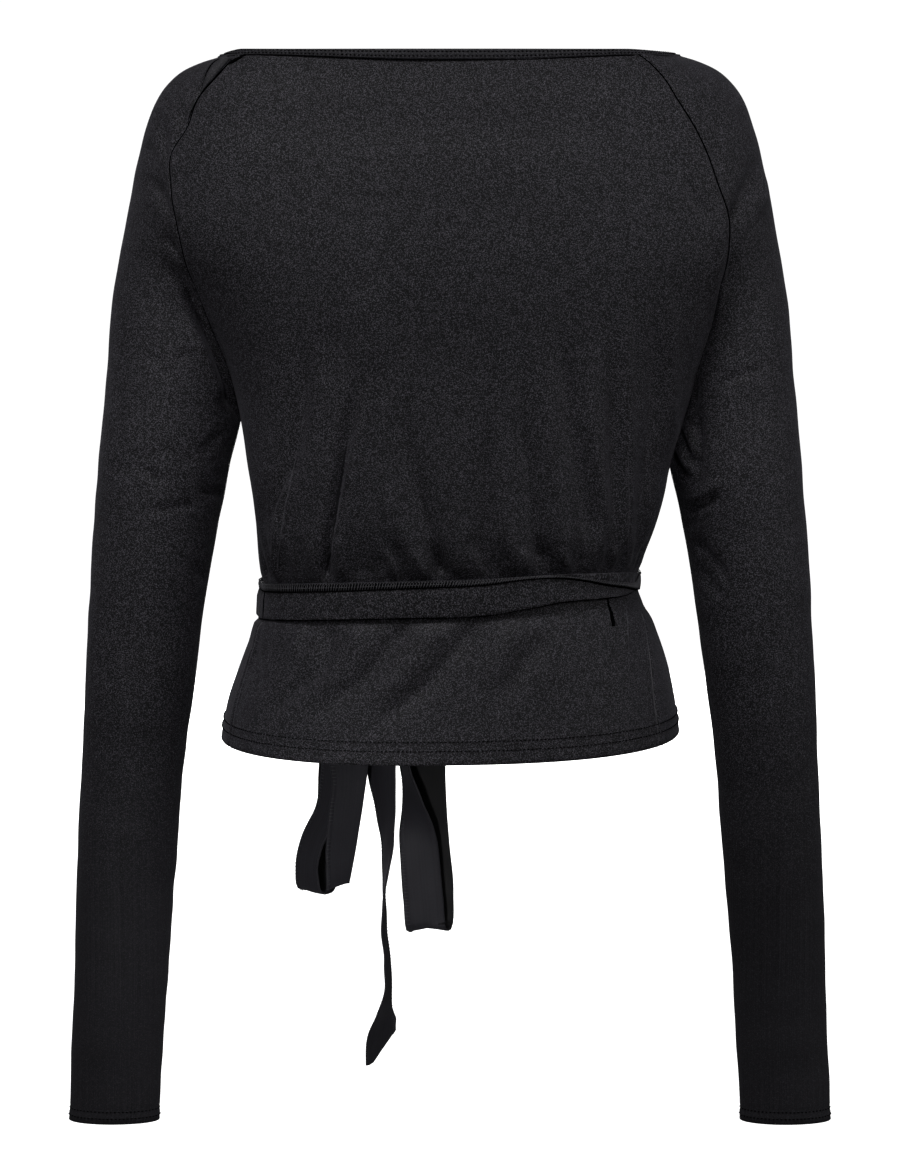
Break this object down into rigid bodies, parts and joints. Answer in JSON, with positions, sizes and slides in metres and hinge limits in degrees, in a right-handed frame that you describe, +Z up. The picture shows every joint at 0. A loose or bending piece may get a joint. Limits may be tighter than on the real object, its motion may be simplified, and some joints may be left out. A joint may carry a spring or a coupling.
{
  "type": "long-sleeved wrap top",
  "caption": "Long-sleeved raglan wrap top in fine black jersey, with a wide straight neck, a wrapped waist tie, a flared hem and a bow at the front.",
  "frame": {"origin": "between the shoulders, at the height of the neckline", "axes": "+Z up, -Y the garment's front, +X the wearer's left"},
  "size_m": [0.496, 0.2567, 0.6908],
  "materials": {
    "jersey": "fine single jersey, soft satin sheen, faint cool cast",
    "tie_jersey": "folded strip of the same jersey with an overlocked edge"
  },
  "bodies": {
    "root": {"back": "jersey", "front_outer": "jersey", "front_inner": "jersey", "sleeve_left": "jersey", "sleeve_right": "jersey", "neck_binding": "jersey", "waist_tie_outer": "tie_jersey", "waist_tie_inner": "tie_jersey", "bow_knot": "tie_jersey", "bow_loop_left": "tie_jersey", "bow_loop_right": "tie_jersey", "bow_end_short": "tie_jersey", "bow_end_long": "tie_jersey"}
  },
  "joints": []
}
